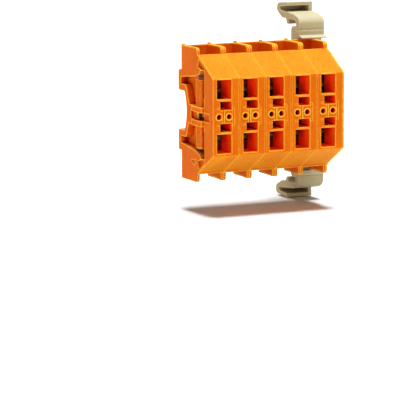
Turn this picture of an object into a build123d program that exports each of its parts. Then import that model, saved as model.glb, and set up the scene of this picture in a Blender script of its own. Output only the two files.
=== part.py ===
"""Five-pole miniature terminal block on its adapter for a 35 mm top-hat rail.

Frame: +X along the rail, +Y towards the wall behind the rail, +Z up.
The origin is the centre of the adapter's flat seat, which lies on the front of the rail's lips (Y = 0).
"""
import os

from build123d import *

# ------------------------------------------------------------------ block of poles
POLES = 5
PITCH = 6.0
SEAM = 0.06
WIDTH = PITCH - SEAM
BLOCK_LEFT = -POLES * PITCH

# side outline of one housing, as distances in front of the rail lip and half heights
FRONT = -18.2
FACE_HALF = 8.0
SLOPE_BACK = -11.1
SLOPE_HALF = 12.2
SLOPE_LIP = 0.4
FIN_FRONT = -10.6
FIN_TOP = 13.7
FIN_BOTTOM = -14.4
FIN_BACK = -2.7
FIN_CORNER = 0.8
EAR_BACK = -1.2
EAR_OUTER = 8.5
EAR_INNER = 4.1
EAR_CORNER = 0.4
EAR_INSIDE_CORNER = 0.5
SMALL_CORNER = 0.2
RIM_CORNER = -4.2
RIM_MIDDLE = -5.2
RIM = 1.1
EDGE = 0.09
CHAMFER_CLEAR = 0.3

# fins and the pocket between them
FIN = 0.55
POCKET_FLOOR = 9.6
POCKET_FRONT = -9.9
POCKET_BACK = -3.7
BACK_WALL_TOP = 13.6
BACK_WALL_BOTTOM = -12.5
FIN_STEP = -5.6
FIN_STEP_TOP = 13.6
GUSSET_RISE = 0.9
NUB_FRONT = -3.4
NUB_TOP = 13.95

# front openings of one pole, measured from its left side and from the level of the two round holes
FACE_LEVEL = 0.1
WIRE_LEFT = 0.9
WIRE_RIGHT = 4.25
WIRE_LEFT_DEEP = 1.35
WIRE_RIGHT_DEEP = 4.0
WIRE_LOW = 3.6
WIRE_HIGH = 7.65
WIRE_TAPER = 0.2
DRIVER_LEFT = 1.9
DRIVER_RIGHT = 4.3
DRIVER_LOW = 1.4
DRIVER_HIGH = 3.18
DIVIDER = 1.2
HOLE_R = 0.6
HOLE_RIM_R = 0.8
HOLE_RIM_RISE = 0.12
BLIND_X = 1.4
BLIND_DEPTH = 2.5
PROBE_X = 3.67

# shallow seat for a marker strip on the front face, and the bevel beside the screwdriver slots
GROOVE = 0.3
SEAT_HALF = 1.35
SEAT_SLOT_LEFT = 2.22
SEAT_SLOT_RIGHT = 2.44
SEAT_RIDGE_RIGHT = 2.66
SEAT_RIDGE_RISE = 0.1
LINE_LEFT = 4.6
LINE_RIGHT = 4.85
LINE_HALF = 1.85
TICK_Z = 1.75
TICK_HALF = 0.1
TICK_DEPTH = 0.15
TICK_LEFT_END = 1.45
TICK_RIGHT_START = 4.35
BEVEL = 0.3
BEVEL_DEPTH = 0.45

# clamping chamber, which is open to the right and closed by the next pole or the end cover
CHAMBER_LEFT = 1.2
CHAMBER_FRONT = -13.4
CHAMBER_BACK = -9.2
CHAMBER_INNER = 0.9
CHAMBER_OUTER = 9.3
BAR_CHANNEL = -10.2
REBATE = 0.75
REBATE_FRONT = -13.9
REBATE_BACK = -8.8
REBATE_HALF = 9.8
REBATE_GAP = 0.04
END_PLATE = 0.35

# relief of the left side
BAND = -14.0
RELIEF_HALF = 9.2
SHOULDER = ((-9.5, 7.8), (-11.3, 8.3), (-12.4, RELIEF_HALF))
CAVITY_OUTER = 7.7
RIM_INSIDE_Z = 2.0
RIM_INSIDE_STEP = 0.4
EAR_WALL = 1.4
EAR_TIP_WALL = 1.6
PILLAR_FRONT = -12.0
PILLAR_BACK = -9.5
PILLAR_INNER = 1.7
PILLAR_OUTER = 7.2
PILLAR_DEPTH = 0.2
PILLAR_EDGE = 0.45
TROUGH_DEPTH = 1.05
TROUGH_NARROW = -13.3
TROUGH_NARROW_HALF = 3.5
CAVITY_DEPTH = 1.6
CORNER_RECESS = ((-10.6, 9.9), (-11.3, 11.5), (-14.2, 9.75), (-14.0, 9.35), (-12.4, 9.35))
CORNER_RECESS_DEPTH = 0.5
WEB = 0.8
FINGER_BACK = -7.3
FINGER_SLOT_FRONT = -16.6
FINGER_SLOT_TOP = 0.5
FINGER_SLOT_BOTTOM = -1.2
FINGER_TOP = 1.6
FINGER_BOTTOM = -2.4
FINGER_SLOT_DEPTH = 0.6
STUD_FRONT = -12.5
STUD_BACK = -10.4
STUD_TOP = 0.15
STUD_BOTTOM = -0.7
STUD_REACH = 0.7
STUD_PLAY = 0.15
FINGER_TIP = 0.2
FINGER_REACH = 0.6
FINGER_REACH_FRONT = -13.7
FINGER_REACH_BACK = -9.0
CORE_BACK = -8.0
CORE_INSET = 1.2

# small sunk triangle on the lower fin
MARK = ((-7.5, -10.0), (-9.8, -9.6), (-9.1, -11.0))
MARK_DEPTH = 0.2

# copper and spring steel inside each pole
FIT_GAP = 0.05
BAR = 0.7
BAR_BACK = -9.3
BAR_END = 9.1
LUG_LEFT = 0.7
LUG_RIGHT = 3.2
LUG_INNER = 7.3
LUG_MIDDLE = 0.85
BAR_HOLE_R = 1.0
BAR_LEFT = 1.5
BAR_RIGHT = 4.9
TONGUE = 0.6
TONGUE_INNER = 4.6
TONGUE_LEFT = 2.3
TONGUE_RIGHT = 4.0
CAGE_SHEET = 0.35
CAGE_FRONT = -13.05
CAGE_LEFT = 1.5
CAGE_RIGHT = 4.8
CAGE_RAIL = 0.5
CAGE_INNER = 1.9
CAGE_PUSH = 0.6
CAGE_GRIP = 5.3
CAGE_BAR = 0.6
CAGE_CORNER = 0.3
LOOP_SHEET = 0.25
LOOP_FRONT = -12.4
LOOP_BACK = -10.35
LOOP_INNER = 1.35
LOOP_LEFT = 1.7
LOOP_RIGHT = 4.6

# rail adapter
ADAPTER_HALF = 3.0
PLATE = 1.1
PAD = 2.6
PAD_INNER = 9.0
PAD_OUTER = 14.3
HEAD_FRONT = -3.8
HEAD_INNER_TOP = 13.75
HEAD_INNER_BOTTOM = 14.65
LEG_TOP = 16.2
LEG_CORNER = 0.6
LEG_FRONT = -2.2
NOSE_REACH = 1.3
NOSE = 0.75
NOSE_UNDERCUT = 0.1
NOSE_TIP = 0.35
HINGE_Z = 16.0
HINGE_CUT = 0.4
KNUCKLE_GAP = 0.03
ARM = 1.55
LATCH_LEFT = -2.6
LATCH_RIGHT = -0.5
LATCH_OUTER = 3.95
LATCH = 0.9
LATCH_FRONT = -3.9
BARB = 0.5
BARB_BACK = -3.0
BARB_RAMP = 0.4
NOTCH_WALL = 0.5
NOTCH_PLAY = 0.15

# rail that the adapter grips: 35 mm over the lips, lips 1 mm thick
LIP_HALF = 17.5
LIP = 1.0
LIP_PLAY = 0.12

# hooks over the rail's lips: tooth, shoulder and folded-back lever
TOOTH_TIP = 16.5
TOOTH = 0.8
SHOULDER_Z = 18.1
CREST = (-0.9, 18.8)
VALLEY_Z = 19.3
FOLD_Z = 19.95
HEEL_FRONT = 2.6
HEEL_BACK = 4.3
LEVER_START = 1.9
LEVER_INNER = 20.3
LEVER_OUTER = 21.1
LEVER_REAR_Z = 20.7
BEND_Z = 19.0
LEVER = 1.5
WEB_RIB = 0.8


def side(x):
    """Plane across the rail at x, with Y to its right and Z up."""
    return Plane.YZ.offset(x)


def front(y):
    """Plane that faces the viewer of the front at y, with X to its right and Z up."""
    return Plane.XZ.offset(-y)


def save(piece, label):
    """Name a finished piece and write it."""
    piece.label = label
    export_step(piece, f"parts/{label}.step")


def prism(plane, points, depth, mode=Mode.SUBTRACT):
    """Add or cut a prism on a polygon, from its plane along the plane's normal."""
    with BuildSketch(plane) as section:
        with BuildLine():
            Polyline(*points, close=True)
        make_face()
    extrude(section.sketch, amount=depth, mode=mode)


def block(x0, x1, y0, y1, z0, z1, mode=Mode.SUBTRACT):
    """Add or cut a box between two corners."""
    with Locations(((x0 + x1) / 2, (y0 + y1) / 2, (z0 + z1) / 2)):
        Box(abs(x1 - x0), abs(y1 - y0), abs(z1 - z0), mode=mode)


def outline_slab(x, thickness):
    """Slab with the side outline of a pole: sloped front block, rail-side ears and fins."""
    corners = [
        (RIM_CORNER, -EAR_INNER, 0),
        (EAR_BACK, -EAR_INNER, EAR_INSIDE_CORNER),
        (EAR_BACK, -EAR_OUTER, EAR_CORNER),
        (FIN_BACK, -EAR_OUTER, SMALL_CORNER),
        (FIN_BACK, FIN_BOTTOM, SMALL_CORNER),
        (FIN_FRONT, FIN_BOTTOM, FIN_CORNER),
        (FIN_FRONT, -SLOPE_HALF - SLOPE_LIP, 0),
        (SLOPE_BACK, -SLOPE_HALF - SLOPE_LIP, SMALL_CORNER / 2),
        (SLOPE_BACK, -SLOPE_HALF, 0),
        (FRONT, -FACE_HALF, EAR_CORNER),
        (FRONT, FACE_HALF, SMALL_CORNER),
        (SLOPE_BACK, SLOPE_HALF, 0),
        (FIN_FRONT, SLOPE_HALF, 0),
        (FIN_FRONT, FIN_TOP, FIN_CORNER),
        (FIN_BACK, FIN_TOP, SMALL_CORNER),
        (FIN_BACK, EAR_OUTER, SMALL_CORNER),
        (EAR_BACK, EAR_OUTER, EAR_CORNER),
        (EAR_BACK, EAR_INNER, EAR_INSIDE_CORNER),
        (RIM_CORNER, EAR_INNER, 0),
    ]
    with BuildSketch(side(x)) as outline:
        with BuildLine():
            FilletPolyline(*[(y, z) for y, z, r in corners], radius=[r for y, z, r in corners[1:-1]])
            ThreePointArc((RIM_CORNER, EAR_INNER), (RIM_MIDDLE, 0), (RIM_CORNER, -EAR_INNER))
        make_face()
    extrude(outline.sketch, amount=thickness)


def fin_step(x, thickness):
    """Lower the back of a fin's top, to leave room for the adapter's nose."""
    block(x, x + thickness, FIN_STEP, 0, FIN_STEP_TOP, FIN_TOP + 1)


def fin_pockets(x):
    """Hollow behind each slope between the two fins, with a low wall at the back."""
    upper = (1, SLOPE_HALF, BACK_WALL_TOP, FIN_TOP + 1)
    lower = (-1, SLOPE_HALF + SLOPE_LIP, -BACK_WALL_BOTTOM, 1 - FIN_BOTTOM)
    for way, ledge, wall, beyond in (upper, lower):
        pocket = [
            (FIN_FRONT - 1, beyond),
            (FIN_FRONT - 1, ledge),
            (POCKET_FRONT, ledge),
            (POCKET_FRONT, POCKET_FLOOR),
            (POCKET_BACK, POCKET_FLOOR),
            (POCKET_BACK, wall),
            (0, wall),
            (0, beyond),
        ]
        prism(side(x + FIN), [(y, way * z) for y, z in pocket], WIDTH - 2 * FIN)
    gusset = [
        (FIN_FRONT - 1, FIN_BOTTOM),
        (FIN_BACK + 1, FIN_BOTTOM + GUSSET_RISE),
        (FIN_BACK + 1, FIN_BOTTOM - 1),
        (FIN_FRONT - 1, FIN_BOTTOM - 1),
    ]
    prism(side(x + WIDTH - FIN), gusset, FIN + 1)
    block(x, x + FIN, NUB_FRONT, FIN_BACK, FIN_TOP - FIN, NUB_TOP, Mode.ADD)


def rim_inside(half):
    """Points of the hollow inside the rail-side rim, for the upper half, from the rim to the wall."""
    return [
        (RIM_MIDDLE - RIM, half),
        (RIM_MIDDLE - RIM + SMALL_CORNER / 2, RIM_INSIDE_Z),
        (RIM_CORNER - RIM, EAR_INNER + NOTCH_WALL),
        (RIM_CORNER - RIM_INSIDE_STEP, EAR_INNER + EAR_WALL),
        (EAR_BACK - RIM, EAR_INNER + EAR_WALL),
        (EAR_BACK - RIM, EAR_OUTER - EAR_TIP_WALL),
    ]


def left_relief(x):
    """Hollow left side: rim, cavity, upright pillar, trough, gaps at the pillar ends and corner recess."""
    through = CHAMBER_LEFT + 0.1
    for way in (1, -1):
        inner = FINGER_TOP if way > 0 else -FINGER_BOTTOM
        rim = rim_inside(inner)
        shallow = rim + list(SHOULDER) + [(BAND, RELIEF_HALF), (BAND, inner)]
        prism(side(x), [(y, way * z) for y, z in shallow], PILLAR_DEPTH)
        cavity = rim + [(PILLAR_BACK, CAVITY_OUTER), (PILLAR_BACK, inner)]
        prism(side(x), [(y, way * z) for y, z in cavity], CAVITY_DEPTH)
        narrow = way * TROUGH_NARROW_HALF
        block(x - 1, x + TROUGH_DEPTH, BAND, PILLAR_FRONT, narrow, way * RELIEF_HALF)
        block(x - 1, x + TROUGH_DEPTH, TROUGH_NARROW, PILLAR_FRONT, way * inner, narrow)
        block(x - 1, x + TROUGH_DEPTH, PILLAR_FRONT, PILLAR_BACK, way * inner, way * PILLAR_INNER)
        gap = [(PILLAR_BACK, PILLAR_OUTER)] + list(SHOULDER) + [(BAND, RELIEF_HALF), (BAND, PILLAR_OUTER)]
        prism(side(x), [(y, way * z) for y, z in gap], through)
        prism(side(x), [(y, way * z) for y, z in CORNER_RECESS], CORNER_RECESS_DEPTH)
        bevel = [(x, PILLAR_FRONT), (x + PILLAR_EDGE, PILLAR_FRONT), (x, PILLAR_FRONT + PILLAR_EDGE)]
        base = min(way * PILLAR_INNER, way * PILLAR_OUTER)
        prism(Plane.XY.offset(base), bevel, PILLAR_OUTER - PILLAR_INNER)


def fingers(x):
    """Two level fingers across the middle of the left side, with the stud slot between them."""
    right = x + CAVITY_DEPTH + WEB
    tip = BAND - FINGER_TIP
    play = STUD_PLAY
    reach = x - FINGER_REACH
    for low, high in ((FINGER_SLOT_TOP, FINGER_TOP), (FINGER_BOTTOM, FINGER_SLOT_BOTTOM)):
        block(x, right, FINGER_BACK, tip, low, high, Mode.ADD)
        block(reach, right, FINGER_REACH_BACK, FINGER_REACH_FRONT, low, high, Mode.ADD)
    block(x - 1, x + FINGER_SLOT_DEPTH, FINGER_BACK, FINGER_SLOT_FRONT, FINGER_SLOT_BOTTOM, FINGER_SLOT_TOP)
    block(x, right, STUD_FRONT - play, BAR_CHANNEL + play, FINGER_SLOT_BOTTOM, STUD_TOP + play)


def chamber(x):
    """Room for the copper bar and both clamps, cut in from the right side."""
    right = x + PITCH
    left = x + CHAMBER_LEFT
    lug = x + LUG_LEFT - FIT_GAP
    for way in (1, -1):
        block(left, right, CHAMBER_FRONT, CHAMBER_BACK, way * CHAMBER_INNER, way * CHAMBER_OUTER)
        block(lug, left, BAR_CHANNEL, CHAMBER_BACK, way * PILLAR_OUTER, way * CHAMBER_OUTER)
    block(lug, right, BAR_CHANNEL, CHAMBER_BACK, -CHAMBER_INNER, CHAMBER_INNER)
    block(x + WIDTH - REBATE, right, REBATE_FRONT, REBATE_BACK, -REBATE_HALF, REBATE_HALF)


def right_relief(x):
    """Coring of the rail-side half from the right, and the notches that the adapter's latches enter."""
    upper = rim_inside(0)
    core_half = EAR_OUTER - CORE_INSET
    core = upper + [(CORE_BACK, core_half), (CORE_BACK, -core_half)]
    core += [(y, -z) for y, z in reversed(upper[1:])]
    prism(side(x + CAVITY_DEPTH + WEB), core, PITCH)
    notch_left = x + PITCH + LATCH_LEFT - NOTCH_PLAY
    notch_right = x + PITCH + LATCH_RIGHT + NOTCH_PLAY
    notch_back = BARB_BACK + NOTCH_PLAY
    notch_front = LATCH_FRONT - NOTCH_PLAY
    near = EAR_INNER - NOTCH_WALL
    far = LATCH_OUTER + BARB + NOTCH_PLAY
    for way in (1, -1):
        block(notch_left, notch_right, notch_back, notch_front, way * near, way * far)


def stacking_stud(x):
    """Stud on the right side that enters the slot of the next pole."""
    block(x + CHAMBER_LEFT, x + PITCH + STUD_REACH, STUD_FRONT, STUD_BACK, STUD_BOTTOM, STUD_TOP, Mode.ADD)


def opening(x, way, left, right, height, y):
    """Rectangle of a wire entry at depth y, between two distances from the pole's left side."""
    level = FACE_LEVEL + way * (WIRE_LOW + WIRE_HIGH) / 2
    with BuildSketch(front(y)) as section:
        with Locations((x + (left + right) / 2, level)):
            Rectangle(right - left, height)
    return section.sketch.face()


def front_openings(x):
    """Wire entries and screwdriver slots, which meet behind a thin divider, and the slots' bevels."""
    height = WIRE_HIGH - WIRE_LOW
    inside = CHAMBER_FRONT + 0.1
    behind = FRONT + DIVIDER
    out = FRONT - 1
    for way in (1, -1):
        mouth = opening(x, way, WIRE_LEFT, WIRE_RIGHT, height, FRONT)
        throat = opening(x, way, WIRE_LEFT_DEEP, WIRE_RIGHT_DEEP, height - WIRE_TAPER, inside)
        loft([mouth, throat], mode=Mode.SUBTRACT)
        low = FACE_LEVEL + way * DRIVER_LOW
        high = FACE_LEVEL + way * DRIVER_HIGH
        top = FACE_LEVEL + way * (WIRE_HIGH - WIRE_TAPER)
        block(x + DRIVER_LEFT, x + DRIVER_RIGHT, out, inside, low, high)
        block(x + WIRE_LEFT_DEEP, x + WIRE_RIGHT_DEEP, behind, inside, low, top)
        edge = x + DRIVER_LEFT
        bevel = [(edge - BEVEL, FRONT), (edge, FRONT + BEVEL_DEPTH), (edge, out), (edge - BEVEL, out)]
        prism(Plane.XY.offset(min(low, high)), bevel, DRIVER_HIGH - DRIVER_LOW)


def round_hole(x, depth):
    """Round hole in the front face, with a raised rim."""
    with BuildSketch(front(FRONT)) as rim:
        with Locations((x, FACE_LEVEL)):
            Circle(HOLE_RIM_R)
    extrude(rim.sketch, amount=HOLE_RIM_RISE)
    with BuildSketch(front(FRONT - HOLE_RIM_RISE)) as hole:
        with Locations((x, FACE_LEVEL)):
            Circle(HOLE_R)
    extrude(hole.sketch, amount=-depth - HOLE_RIM_RISE, mode=Mode.SUBTRACT)


def front_marks(x):
    """Blind and through hole in the front face, and the grooves that seat a marker strip."""
    round_hole(x + BLIND_X, BLIND_DEPTH)
    round_hole(x + PROBE_X, -FRONT)
    out = FRONT - 1
    deep = FRONT + GROOVE
    ridge = SEAT_RIDGE_RISE
    low = FACE_LEVEL - SEAT_HALF
    high = FACE_LEVEL + SEAT_HALF
    block(x + SEAT_SLOT_LEFT, x + SEAT_SLOT_RIGHT, out, deep, low, high)
    ridge_left = x + SEAT_SLOT_RIGHT
    ridge_right = x + SEAT_RIDGE_RIGHT
    block(ridge_left, ridge_right, FRONT - ridge, FRONT + ridge, low, high, Mode.ADD)
    block(x + LINE_LEFT, x + LINE_RIGHT, out, deep, FACE_LEVEL - LINE_HALF, FACE_LEVEL + LINE_HALF)
    for z in (FACE_LEVEL - TICK_Z, FACE_LEVEL + TICK_Z):
        block(x + WIRE_LEFT, x + TICK_LEFT_END, out, FRONT + TICK_DEPTH, z - TICK_HALF, z + TICK_HALF)
        block(x + TICK_RIGHT_START, x + LINE_RIGHT, out, FRONT + TICK_DEPTH, z - TICK_HALF, z + TICK_HALF)


def make_housing(index):
    """Moulded housing of one pole, counted from the left."""
    x = BLOCK_LEFT + index * PITCH
    with BuildPart() as housing:
        outline_slab(x, WIDTH)
        rims = housing.edges().filter_by(Axis.X, reverse=True)
        chamfer(rims.filter_by(lambda edge: edge.center().Y < SLOPE_BACK - CHAMFER_CLEAR), length=EDGE)
        fin_pockets(x)
        fin_step(x + WIDTH - FIN, FIN)
        left_relief(x)
        fingers(x)
        chamber(x)
        right_relief(x)
        stacking_stud(x)
        front_openings(x)
        front_marks(x)
        prism(side(x), MARK, MARK_DEPTH)
    return housing.part


def make_bar(index):
    """Tinned copper current bar: a web across the back of the chamber, two forward tongues and three lugs."""
    x = BLOCK_LEFT + index * PITCH
    back = BAR_BACK
    tip = CHAMBER_FRONT + FIT_GAP
    outer = TONGUE_INNER + TONGUE
    with BuildPart() as bar:
        block(x + BAR_LEFT, x + BAR_RIGHT, back - BAR, back, -outer, outer, Mode.ADD)
        for way in (1, -1):
            block(x + TONGUE_LEFT, x + TONGUE_RIGHT, tip, back, way * TONGUE_INNER, way * outer, Mode.ADD)
            block(x + BAR_LEFT, x + LUG_RIGHT, back - BAR, back, way * outer, way * BAR_END, Mode.ADD)
            block(x + LUG_LEFT, x + LUG_RIGHT, back - BAR, back, way * LUG_INNER, way * BAR_END, Mode.ADD)
        block(x + LUG_LEFT, x + BAR_LEFT, back - BAR, back, -LUG_MIDDLE, LUG_MIDDLE, Mode.ADD)
        with BuildSketch(front(back + 1)):
            with Locations((x + PROBE_X, FACE_LEVEL)):
                Circle(BAR_HOLE_R)
        extrude(amount=BAR + 2, mode=Mode.SUBTRACT)
    return bar.part


def make_loop(index, way):
    """Bent loop of a clamping spring, lying on the inner side of the copper tongue."""
    x = BLOCK_LEFT + index * PITCH
    height = TONGUE_INNER - FIT_GAP - LOOP_INNER
    depth = LOOP_BACK - LOOP_FRONT
    middle = (LOOP_FRONT + LOOP_BACK) / 2, way * (LOOP_INNER + height / 2)
    bend = depth / 2 - FIT_GAP
    with BuildPart() as loop:
        with BuildSketch(side(x + LOOP_LEFT)):
            with Locations(middle):
                RectangleRounded(depth, height, bend)
                inside = depth - 2 * LOOP_SHEET, height - 2 * LOOP_SHEET, bend - LOOP_SHEET
                RectangleRounded(*inside, mode=Mode.SUBTRACT)
        extrude(amount=LOOP_RIGHT - LOOP_LEFT)
    return loop.part


def make_cage(index, way):
    """Windowed leg of a clamping spring, which the copper tongue passes through."""
    x = BLOCK_LEFT + index * PITCH
    width = CAGE_RIGHT - CAGE_LEFT
    outer = CAGE_GRIP + CAGE_BAR
    middle_x = x + (CAGE_LEFT + CAGE_RIGHT) / 2
    window_low = CAGE_INNER + CAGE_PUSH
    with BuildPart() as cage:
        with BuildSketch(front(CAGE_FRONT)):
            with Locations((middle_x, way * (CAGE_INNER + outer) / 2)):
                RectangleRounded(width, outer - CAGE_INNER, CAGE_CORNER)
            with Locations((middle_x, way * (window_low + CAGE_GRIP) / 2)):
                Rectangle(width - 2 * CAGE_RAIL, CAGE_GRIP - window_low, mode=Mode.SUBTRACT)
        extrude(amount=-CAGE_SHEET)
    return cage.part


def make_end_plate():
    """Plate on the open side of the last pole, with a plug that closes its chamber."""
    gap = REBATE_GAP
    play = STUD_PLAY
    face = BLOCK_LEFT + (POLES - 1) * PITCH + WIDTH
    half = REBATE_HALF - gap
    with BuildPart() as plate:
        outline_slab(face, END_PLATE)
        fin_step(face, END_PLATE)
        block(face - REBATE + gap, face, REBATE_FRONT + gap, REBATE_BACK - gap, -half, half, Mode.ADD)
        block(face - 1, face + 1, STUD_FRONT - play, STUD_BACK + play, STUD_BOTTOM - play, STUD_TOP + play)
    return plate.part


def adapter_head(way, inner):
    """Head behind the fins at one end of the adapter, with the socket of its hook's knuckle."""
    cut = HINGE_Z - HINGE_CUT
    head = [
        (0, PAD_OUTER),
        (0, LEG_TOP - LEG_CORNER),
        (-LEG_CORNER, LEG_TOP),
        (LEG_FRONT, LEG_TOP),
        (LEG_FRONT, cut),
        (HEAD_FRONT, cut),
        (HEAD_FRONT, inner),
        (-PAD, inner),
        (-PAD, PAD_OUTER),
    ]
    prism(side(-ADAPTER_HALF), [(y, way * z) for y, z in head], 2 * ADAPTER_HALF, Mode.ADD)
    with BuildSketch(side(-ADAPTER_HALF)) as socket:
        with Locations((HEAD_FRONT + ARM / 2, way * HINGE_Z)):
            Circle(ARM / 2 + KNUCKLE_GAP)
    extrude(socket.sketch, amount=2 * ADAPTER_HALF, mode=Mode.SUBTRACT)


def adapter_latch(way):
    """Barbed tongue that snaps into a notch of the last pole."""
    inner = LATCH_OUTER - LATCH
    latch = [
        (-PLATE, inner),
        (LATCH_FRONT, inner),
        (LATCH_FRONT, LATCH_OUTER),
        (BARB_BACK - BARB_RAMP, LATCH_OUTER + BARB),
        (BARB_BACK, LATCH_OUTER + BARB),
        (BARB_BACK, LATCH_OUTER),
        (-PLATE, LATCH_OUTER),
    ]
    prism(side(LATCH_LEFT), [(y, way * z) for y, z in latch], LATCH_RIGHT - LATCH_LEFT, Mode.ADD)


def make_adapter_base():
    """Middle of the rail adapter: seat plate, pads behind the fins, latches and both hinge heads."""
    width = 2 * ADAPTER_HALF
    tip = HEAD_FRONT - NOSE_REACH
    with BuildPart() as base:
        block(-ADAPTER_HALF, ADAPTER_HALF, -PLATE, 0, -PAD_INNER, PAD_INNER, Mode.ADD)
        for way, inner in ((1, HEAD_INNER_TOP), (-1, HEAD_INNER_BOTTOM)):
            block(-ADAPTER_HALF, ADAPTER_HALF, -PAD, 0, way * PAD_INNER, way * PAD_OUTER, Mode.ADD)
            adapter_head(way, inner)
            adapter_latch(way)
        low = HEAD_INNER_TOP
        nose = [(HEAD_FRONT, low), (tip, low + NOSE_UNDERCUT), (tip, low + NOSE_TIP)]
        nose.append((HEAD_FRONT, low + NOSE))
        prism(side(-ADAPTER_HALF), nose, width, Mode.ADD)
    return base.part


def make_hook(way, rear, corner, lean):
    """Sprung arm over one rail lip: knuckle, curved arm with its tooth, and a folded-back lever."""
    face = HEAD_FRONT
    inside = face + ARM
    tooth_front = LIP + LIP_PLAY
    under = LIP_HALF + LIP_PLAY
    outline = [
        (face, HINGE_Z, 0),
        (face + lean, SHOULDER_Z, corner),
        (*CREST, 1.0),
        (rear - LEVER, VALLEY_Z, 0.3),
        (rear - LEVER, FOLD_Z, 0.3),
        (LEVER_START, LEVER_INNER, 0.1),
        (LEVER_START, LEVER_OUTER, 0.1),
        (rear, LEVER_REAR_Z, 1.0),
        (rear, BEND_Z, 0.8),
        (HEEL_BACK, under, 0.8),
        (HEEL_FRONT, under, 0.1),
        (tooth_front + TOOTH, TOOTH_TIP, 0.15),
        (tooth_front, TOOTH_TIP, 0.1),
        (tooth_front, under, 0.1),
        (inside, LIP_HALF, 0.9),
        (inside, HINGE_Z, 0),
    ]
    with BuildPart() as hook:
        with BuildSketch(side(-ADAPTER_HALF)):
            with BuildLine():
                path = [(y, way * z) for y, z, r in outline]
                FilletPolyline(*path, radius=[r for y, z, r in outline[1:-1]])
                Line(path[-1], path[0])
            make_face()
            with Locations(((face + inside) / 2, way * HINGE_Z)):
                Circle(ARM / 2)
        extrude(amount=2 * ADAPTER_HALF)
        web_rear = rear - CORE_INSET
        web = [(LEVER_START, CREST[1]), (web_rear, VALLEY_Z), (web_rear, FOLD_Z), (LEVER_START, LEVER_INNER)]
        prism(side(ADAPTER_HALF - WEB_RIB), [(y, way * z) for y, z in web], WEB_RIB, Mode.ADD)
    return hook.part


os.makedirs("parts", exist_ok=True)
for pole in range(POLES):
    save(make_housing(pole), f"housing_{pole + 1}")
    save(make_bar(pole), f"current_bar_{pole + 1}")
    for place, direction in (("upper", 1), ("lower", -1)):
        save(make_loop(pole, direction), f"spring_loop_{place}_{pole + 1}")
        save(make_cage(pole, direction), f"clamp_cage_{place}_{pole + 1}")
save(make_end_plate(), "end_plate")
save(make_adapter_base(), "adapter_base")
save(make_hook(1, 6.75, 1.5, 0.0), "adapter_hook_upper")
save(make_hook(-1, 7.2, 2.2, 0.3), "adapter_hook_lower")
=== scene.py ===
"""Looks of the five-pole terminal block and its rail adapter: materials, floor, light and camera."""
import math

import bpy
from mathutils import Matrix, Vector


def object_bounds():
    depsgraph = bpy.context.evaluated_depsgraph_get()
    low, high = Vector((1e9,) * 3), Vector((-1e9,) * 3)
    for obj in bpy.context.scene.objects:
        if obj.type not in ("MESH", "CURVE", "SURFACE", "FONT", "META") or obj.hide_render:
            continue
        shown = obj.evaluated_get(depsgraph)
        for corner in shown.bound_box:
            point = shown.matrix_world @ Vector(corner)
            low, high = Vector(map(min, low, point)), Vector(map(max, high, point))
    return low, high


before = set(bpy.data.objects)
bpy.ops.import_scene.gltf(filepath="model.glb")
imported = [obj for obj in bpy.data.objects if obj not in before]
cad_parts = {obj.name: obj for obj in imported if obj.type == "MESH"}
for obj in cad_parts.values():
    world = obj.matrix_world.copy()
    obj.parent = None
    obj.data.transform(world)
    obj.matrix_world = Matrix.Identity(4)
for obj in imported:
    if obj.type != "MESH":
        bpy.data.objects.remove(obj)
cad_low, cad_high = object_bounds()

MM = 0.001

# ---------------------------------------- camera
CAMERA_AT = (-0.28128, -0.55261, 0.07701)
CAMERA_AZIMUTH = math.radians(24.92)
CAMERA_DOWN = math.radians(9.04)
CAMERA_ROLL = -0.00263
CAMERA_LENS = 261.6
CAMERA_SENSOR = 36.0
CAMERA_NEAR = 0.05
CAMERA_FAR = 20.0

# ---------------------------------------- room for the metal parts inside the poles
ROOM_FRONT = -0.0134
ROOM_TOP = 0.0093
ROOM_FADE = 0.0005

# ---------------------------------------- openness, with ranges from none to full effect
# Openness is 1 for a point in the open and falls to 0 at the bottom of a deep recess; it sets where painted
# shade and painted glow go. Points above and below the room, between the fins, count as more open by
# ABOVE_ROOM.
OPEN_REACH = 5.0
OPEN_SAMPLES = 12
ABOVE_ROOM = 0.24
RECESS_SHADE_RANGE = (0.45, 0.22)
DEEP_SHADE_RANGE = (0.16, 0.04)
ROOM_SHADE_RANGE = (0.34, 0.22)
SCATTERING = (0.45, 0.25)
GLOWING = (0.42, 0.25)
LIT = (0.12, 0.22)
SHINING = (0.2, 0.8)

# ---------------------------------------- edges
FLAT_PART = 0.95
EDGE_PART = 0.45
EDGE_SAMPLES = 6

# ---------------------------------------- moulded plastic: noises, sizes in millimetres
FLOW = {"size": 4.0, "detail": 3.0, "rough": 0.6}
FLOW_STRETCH = (1.0, 0.6, 0.35)
SPECKLE = {"size": 0.28, "detail": 4.0, "rough": 0.8}
PATCHES = {"size": 0.9}
POLISH = {"size": 1.6, "detail": 3.0}
GRAIN = {"size": 0.11, "detail": 3.0, "rough": 0.65}
GRAIN_STRENGTH = 0.6

# ---------------------------------------- moulded plastic: ranges, low, high, start, end
FLOW_TONE = (0.3, 0.7, 0.1, 0.4)
SPECKLE_TONE = (0.38, 0.62, 0.0, 0.6)
PATCH_WEAR = (0.35, 0.65, 0.55, 1.0)
PAINTED_TILT_LIGHT_RANGE = (0.35, 0.60)

# ---------------------------------------- moulded plastic: surface
EDGE_WEAR_AND_HIGHLIGHT_REACH = 0.32
RUBBED_POLISH = 0.12
SMOOTHER = 0.05
ROUGHER = 0.07
EDGE_RADIUS = 0.12
PLASTIC_IOR = 1.52
PLASTIC_SPECULAR = (0.01, 0.04)
SCATTER_RADIUS = (1.5, 0.08, 0.02)
PAINTED_GLOW_STRENGTH = 0.26

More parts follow.
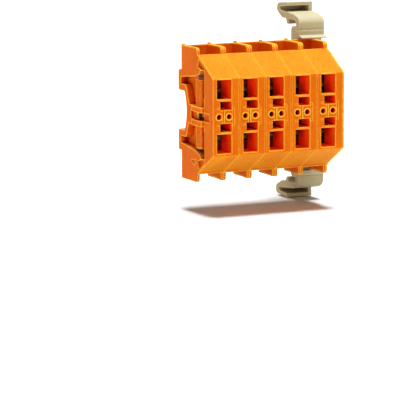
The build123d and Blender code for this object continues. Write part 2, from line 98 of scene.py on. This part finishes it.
# ---------------------------------------- metal strip, sizes in millimetres
LINES = {"size": 0.6, "detail": 3.0, "rough": 0.7}
SMUDGES = {"size": 1.2, "detail": 3.0}
SPECKS = {"size": 0.2, "detail": 1.0}
HALF_TONE = (0.3, 0.7, 0.0, 0.5)
SPECK_RANGE = (0.68, 0.74, 0.0, 0.5)
SPECK_SHADE = 0.4
METAL_RUBBED_REACH = 0.10
METAL_RUBBED_STRENGTH = 0.5
METAL_RUBBED_GAIN = 1.15
METAL_SMOOTHER = 0.06
METAL_ROUGHER = 0.12
METAL_EDGE_RADIUS = 0.05
METAL_RELIEF = 0.01
METAL_RELIEF_STRENGTH = 0.4

# ---------------------------------------- middle part of a noise's values
MIDDLE = (0.3, 0.7)


class Nodes:
    """Short calls to add and link shader nodes in one material."""

    def __init__(self, name):
        self.material = bpy.data.materials.new(name)
        self.material.use_nodes = True
        self.tree = self.material.node_tree
        self.shader = self.tree.nodes["Principled BSDF"]
        self.place = self.add("ShaderNodeTexCoord").outputs["Object"]
        self.surface = self.add("ShaderNodeNewGeometry")

    def add(self, kind, **settings):
        node = self.tree.nodes.new(kind)
        for key, value in settings.items():
            setattr(node, key, value)
        return node

    def link(self, source, target):
        self.tree.links.new(source, target)

    def stretched(self, scale):
        """Object coordinates scaled by a different factor along each axis."""
        mapping = self.add("ShaderNodeMapping")
        mapping.inputs["Scale"].default_value = scale
        self.link(self.place, mapping.inputs["Vector"])
        return mapping.outputs["Vector"]

    def noise(self, size, detail=2.0, rough=0.5, at=None):
        """Noise with features of about the given size in millimetres."""
        node = self.add("ShaderNodeTexNoise")
        node.inputs["Scale"].default_value = 1 / (size * MM)
        node.inputs["Detail"].default_value = detail
        node.inputs["Roughness"].default_value = rough
        self.link(at or self.place, node.inputs["Vector"])
        return node.outputs["Fac"]

    def ramp(self, value, low, high, start=0.0, end=1.0):
        """Value mapped from low..high to start..end, and held there."""
        node = self.add("ShaderNodeMapRange")
        for key, number in (("From Min", low), ("From Max", high), ("To Min", start), ("To Max", end)):
            node.inputs[key].default_value = number
        self.link(value, node.inputs["Value"])
        return node.outputs["Result"]

    def mix(self, factor, a, b, mode="MIX"):
        """Colour a turned into colour b by the factor; any of them may be a socket."""
        node = self.add("ShaderNodeMix", data_type="RGBA", blend_type=mode)
        for socket, value in ((node.inputs["Factor"], factor), (node.inputs["A"], a), (node.inputs["B"], b)):
            if isinstance(value, bpy.types.NodeSocket):
                self.link(value, socket)
            elif socket.type == "RGBA":
                socket.default_value = (*value, 1.0)
            else:
                socket.default_value = value
        return node.outputs["Result"]

    def calc(self, operation, a, b):
        """Result of one arithmetic operation on sockets or numbers."""
        node = self.add("ShaderNodeMath", operation=operation)
        for socket, value in zip(node.inputs, (a, b)):
            if isinstance(value, bpy.types.NodeSocket):
                self.link(value, socket)
            else:
                socket.default_value = value
        return node.outputs["Value"]

    def part_of(self, vector, axis):
        """One of the three components of a vector."""
        node = self.add("ShaderNodeSeparateXYZ")
        self.link(vector, node.inputs["Vector"])
        return node.outputs[axis]

    def size_of(self, value):
        """Value without its sign."""
        node = self.add("ShaderNodeMath", operation="ABSOLUTE")
        self.link(value, node.inputs[0])
        return node.outputs["Value"]

    def within_room(self):
        """Mask that is 1 at the height of the room for the metal parts and 0 above and below it."""
        height = self.size_of(self.part_of(self.surface.outputs["Position"], "Z"))
        return self.ramp(height, ROOM_TOP + ROOM_FADE, ROOM_TOP)

    def behind_entries(self):
        """Mask that is 1 deeper than the wire entries reach."""
        depth = self.part_of(self.surface.outputs["Position"], "Y")
        return self.ramp(depth, ROOM_FRONT - ROOM_FADE, ROOM_FRONT)

    def rounded(self, radius):
        """Normal that is rounded at the edges."""
        bevel = self.add("ShaderNodeBevel", samples=EDGE_SAMPLES)
        bevel.inputs["Radius"].default_value = radius * MM
        return bevel.outputs["Normal"]

    def edges(self, reach):
        """Mask that is 1 along outer edges and fades out within the given distance."""
        return self.ramp(self.open_part(reach, True), FLAT_PART, EDGE_PART)

    def open_part(self, reach, inside=False):
        """Part of the half sphere over a point, or under it, that is clear within the given distance."""
        node = self.add("ShaderNodeAmbientOcclusion", samples=OPEN_SAMPLES, inside=inside, only_local=inside)
        node.inputs["Distance"].default_value = reach * MM
        return node.outputs["AO"]

    def bump(self, height, strength, depth, normal):
        """Relief of the given depth in millimetres on top of the given normal."""
        node = self.add("ShaderNodeBump")
        node.inputs["Strength"].default_value = strength
        node.inputs["Distance"].default_value = depth * MM
        self.link(height, node.inputs["Height"])
        self.link(normal, node.inputs["Normal"])
        self.link(node.outputs["Normal"], self.shader.inputs["Normal"])


def moulded_plastic(name, light, dark, wear_and_highlight, painted_tilt_light, painted_recess_shade, depth, rough, grain, glow):
    """Moulded polyamide: fine grain, flow marks, pale edges that are partly rubbed wear and partly painted
    highlight, painted sheen on faces that point up or down, painted shade as deeper colour in recesses and
    dark depths.
    """
    n = Nodes(name)
    set_to = n.shader.inputs
    level = n.within_room()
    clear = n.calc("ADD", n.open_part(OPEN_REACH), n.ramp(level, 0.0, 1.0, ABOVE_ROOM, 0.0))
    pale_edges = n.edges(EDGE_WEAR_AND_HIGHLIGHT_REACH)
    # Mask for painted shade over the room behind the wire entries, at the room's height, where it is not open.
    painted_room_shade = n.calc("MULTIPLY", n.calc("MULTIPLY", level, n.behind_entries()), n.ramp(clear, *ROOM_SHADE_RANGE))

    flow = n.ramp(n.noise(**FLOW, at=n.stretched(FLOW_STRETCH)), *FLOW_TONE)
    speckle = n.ramp(n.noise(**SPECKLE), *SPECKLE_TONE)
    patches = n.ramp(n.noise(**PATCHES), *PATCH_WEAR)
    tilt = n.size_of(n.part_of(n.surface.outputs["Normal"], "Z"))
    colour = n.mix(n.calc("ADD", flow, speckle), dark, light)
    # Faces that point up or down get a tint, yellower on the orange plastic: painted sheen from the light
    # above.
    colour = n.mix(n.ramp(tilt, *PAINTED_TILT_LIGHT_RANGE), colour, painted_tilt_light, "MULTIPLY")
    # Recesses take on the recess colour, deep red on the orange plastic: painted shade.
    colour = n.mix(n.ramp(clear, *RECESS_SHADE_RANGE), colour, painted_recess_shade)
    # Outer edges turn pale in patches: partly rubbed wear, partly painted highlight.
    colour = n.mix(n.calc("MULTIPLY", pale_edges, patches), colour, wear_and_highlight)
    # Deep recesses and the room behind the wire entries turn to the depth colour, nearly black: painted shade.
    colour = n.mix(n.calc("MAXIMUM", n.ramp(clear, *DEEP_SHADE_RANGE), painted_room_shade), colour, depth)
    n.link(colour, set_to["Base Color"])

    dull = n.ramp(n.noise(**POLISH), *MIDDLE, rough - SMOOTHER, rough + ROUGHER)
    n.link(n.calc("SUBTRACT", dull, n.calc("MULTIPLY", pale_edges, RUBBED_POLISH)), set_to["Roughness"])
    n.bump(n.noise(**GRAIN), GRAIN_STRENGTH, grain, n.rounded(EDGE_RADIUS))
    set_to["IOR"].default_value = PLASTIC_IOR
    n.link(n.ramp(clear, *SHINING, *PLASTIC_SPECULAR), set_to["Specular IOR Level"])
    set_to["Specular Tint"].default_value = (*wear_and_highlight, 1.0)
    if glow > 0:
        scatter_and_painted_glow(n, clear, painted_room_shade, painted_recess_shade, glow)
    return n.material


def scatter_and_painted_glow(n, clear, painted_room_shade, tint, glow):
    """Light that seeps through thin walls by subsurface scattering, most of all in the recesses, and a painted
    glow from emission in the recess colour, but not into the hidden room.
    """
    set_to = n.shader.inputs
    n.shader.subsurface_method = "RANDOM_WALK"
    n.link(n.ramp(clear, *SCATTERING, glow, 1.0), set_to["Subsurface Weight"])
    set_to["Subsurface Radius"].default_value = SCATTER_RADIUS
    set_to["Subsurface Scale"].default_value = MM
    set_to["Emission Color"].default_value = (*tint, 1.0)
    # Emission in the recesses: a painted glow.
    painted_glow = n.calc("MULTIPLY", n.ramp(clear, *GLOWING, 0.0, PAINTED_GLOW_STRENGTH), n.ramp(clear, *LIT))
    n.link(n.calc("MULTIPLY", painted_glow, n.calc("SUBTRACT", 1.0, painted_room_shade)), set_to["Emission Strength"])


def rolled_metal(name, light, dark, rough, along):
    """Rolled or plated strip: fine lines along one direction, smudges and small dark specks."""
    n = Nodes(name)
    set_to = n.shader.inputs
    speck_colour = [c * SPECK_SHADE for c in dark]
    rubbed_colour = [c * METAL_RUBBED_GAIN for c in light]
    lines = n.noise(**LINES, at=n.stretched(along))
    smudges = n.noise(**SMUDGES)
    specks = n.ramp(n.noise(**SPECKS), *SPECK_RANGE)
    pale_edges = n.calc("MULTIPLY", n.edges(METAL_RUBBED_REACH), METAL_RUBBED_STRENGTH)
    tone = n.calc("ADD", n.ramp(lines, *HALF_TONE), n.ramp(smudges, *HALF_TONE))
    colour = n.mix(specks, n.mix(tone, dark, light), speck_colour)
    n.link(n.mix(pale_edges, colour, rubbed_colour), set_to["Base Color"])
    n.link(n.ramp(smudges, *MIDDLE, rough - METAL_SMOOTHER, rough + METAL_ROUGHER), set_to["Roughness"])
    set_to["Metallic"].default_value = 1.0
    n.bump(lines, METAL_RELIEF_STRENGTH, METAL_RELIEF, n.rounded(METAL_EDGE_RADIUS))
    return n.material


# Recess and depth colours are painted shade; the tilt colour is painted sheen on faces that point up or down;
# the edge colour is partly wear, partly painted highlight.
ORANGE = moulded_plastic(
    "orange_polyamide", light=(0.78, 0.185, 0.0055), dark=(0.53, 0.068, 0.003), wear_and_highlight=(0.95, 0.60, 0.05),
    painted_tilt_light=(0.92, 1.45, 2.5), painted_recess_shade=(0.96, 0.028, 0.002), depth=(0.03, 0.005, 0.003),
    rough=0.62, grain=0.016, glow=0.2)
GREY = moulded_plastic(
    "grey_polyamide", light=(0.50, 0.45, 0.26), dark=(0.40, 0.35, 0.20), wear_and_highlight=(0.58, 0.54, 0.35),
    painted_tilt_light=(0.95, 0.95, 1.05), painted_recess_shade=(0.30, 0.25, 0.12), depth=(0.02, 0.016, 0.01),
    rough=0.55, grain=0.012, glow=0.0)
# Both metals are coloured far darker than bare tinned copper and steel: painted shade for the dark depths of
# the poles where they show.
COPPER = rolled_metal(
    "tinned_copper", light=(0.30, 0.22, 0.15), dark=(0.17, 0.12, 0.08), rough=0.45, along=(1.0, 8.0, 8.0))
STEEL = rolled_metal(
    "spring_steel", light=(0.10, 0.095, 0.09), dark=(0.05, 0.047, 0.045), rough=0.45, along=(8.0, 8.0, 1.0))
FINISHES = {
    "housing": ORANGE,
    "end_plate": ORANGE,
    "adapter": GREY,
    "current_bar": COPPER,
    "spring_loop": STEEL,
    "clamp_cage": STEEL,
}

for label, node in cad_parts.items():
    finish = next(FINISHES[key] for key in FINISHES if label.startswith(key))
    node.data.materials.clear()
    node.data.materials.append(finish)

# ---------------------------------------- floor
FLOOR_GAP = 0.0002
FLOOR_WIDTH = 6.0
FLOOR_NEAR = -2.0
FLOOR_FAR = 2.0
FLOOR_RISE = 3.0
FLOOR_BEND = 0.8
FLOOR_STEPS = 16
FLOOR_LIGHT = (0.80, 0.80, 0.795)
FLOOR_DARK = (0.76, 0.76, 0.755)
FLOOR_MOTTLE = {"size": 60.0, "detail": 3.0}
FLOOR_ROUGH = 0.9


def add_object(name, data):
    """New object in the scene that holds the given data."""
    item = bpy.data.objects.new(name, data)
    bpy.context.scene.collection.objects.link(item)
    return item


def pale_floor():
    """Even, matt, nearly white surface with a very weak mottle."""
    n = Nodes("pale_floor")
    mottle = n.ramp(n.noise(**FLOOR_MOTTLE), *MIDDLE)
    n.link(n.mix(mottle, FLOOR_DARK, FLOOR_LIGHT), n.shader.inputs["Base Color"])
    n.shader.inputs["Roughness"].default_value = FLOOR_ROUGH
    return n.material


def floor():
    """Sheet that lies under the object and curves up far behind it."""
    profile = [(FLOOR_NEAR, 0.0), (FLOOR_FAR, 0.0)]
    for i in range(1, FLOOR_STEPS + 1):
        a = math.pi / 2 * i / FLOOR_STEPS
        profile.append((FLOOR_FAR + FLOOR_BEND * math.sin(a), FLOOR_BEND * (1 - math.cos(a))))
    profile.append((FLOOR_FAR + FLOOR_BEND, FLOOR_RISE))
    vertices = [(side * FLOOR_WIDTH / 2, y, z) for y, z in profile for side in (-1, 1)]
    faces = [(2 * i, 2 * i + 1, 2 * i + 3, 2 * i + 2) for i in range(len(profile) - 1)]
    mesh = bpy.data.meshes.new("floor")
    mesh.from_pydata(vertices, [], faces)
    mesh.materials.append(pale_floor())
    sheet = add_object("floor", mesh)
    sheet.location = (0.0, 0.0, cad_low.z - FLOOR_GAP)
    sheet.rotation_euler.z = -CAMERA_AZIMUTH


# ---------------------------------------- light
CENTRE = (cad_low + cad_high) / 2
SKY_COLOUR = (1.0, 0.93, 0.80, 1.0)
SKY_STRENGTH = 0.15


def light(name, kind, at, power, colour, **settings):
    """Light at the given place from the object's centre, turned to face it."""
    data = bpy.data.lights.new(name, kind)
    data.energy = power
    data.color = colour
    for key, value in settings.items():
        setattr(data, key, value)
    lamp = add_object(name, data)
    lamp.location = CENTRE + Vector(at)
    lamp.rotation_mode = "QUATERNION"
    lamp.rotation_quaternion = (-Vector(at)).to_track_quat("-Z", "Y")


def sky():
    """Weak, warm, even light from all around."""
    world = bpy.data.worlds.new("studio")
    world.use_nodes = True
    background = world.node_tree.nodes["Background"]
    background.inputs["Color"].default_value = SKY_COLOUR
    background.inputs["Strength"].default_value = SKY_STRENGTH
    bpy.context.scene.world = world


floor()
light("key", "SUN", at=(0.0, -0.12, 0.98), power=6.8, colour=(0.87, 0.90, 0.95), angle=math.radians(25.0))
light("fill", "AREA", at=(0.10, -0.75, 0.02), power=0.9, colour=(1.0, 0.86, 0.66), size=0.50)
light("side", "AREA", at=(-0.70, -0.20, 0.05), power=1.1, colour=(1.0, 0.30, 0.05), size=0.40)
sky()
bpy.context.scene.view_settings.view_transform = "Standard"


# ---------------------------------------- camera
def look():
    """Camera that looks along its azimuth and slightly down."""
    data = bpy.data.cameras.new("camera")
    data.lens = CAMERA_LENS
    data.sensor_width = CAMERA_SENSOR
    data.clip_start = CAMERA_NEAR
    data.clip_end = CAMERA_FAR
    flat = math.cos(CAMERA_DOWN)
    ahead = Vector((math.sin(CAMERA_AZIMUTH) * flat, math.cos(CAMERA_AZIMUTH) * flat, -math.sin(CAMERA_DOWN)))
    right = Vector((math.cos(CAMERA_AZIMUTH), -math.sin(CAMERA_AZIMUTH), 0.0))
    axes = Matrix((right, right.cross(ahead), -ahead)).transposed() @ Matrix.Rotation(CAMERA_ROLL, 3, "Z")
    camera = add_object("camera", data)
    camera.matrix_world = Matrix.Translation(CAMERA_AT) @ axes.to_4x4()
    bpy.context.scene.camera = camera


look()
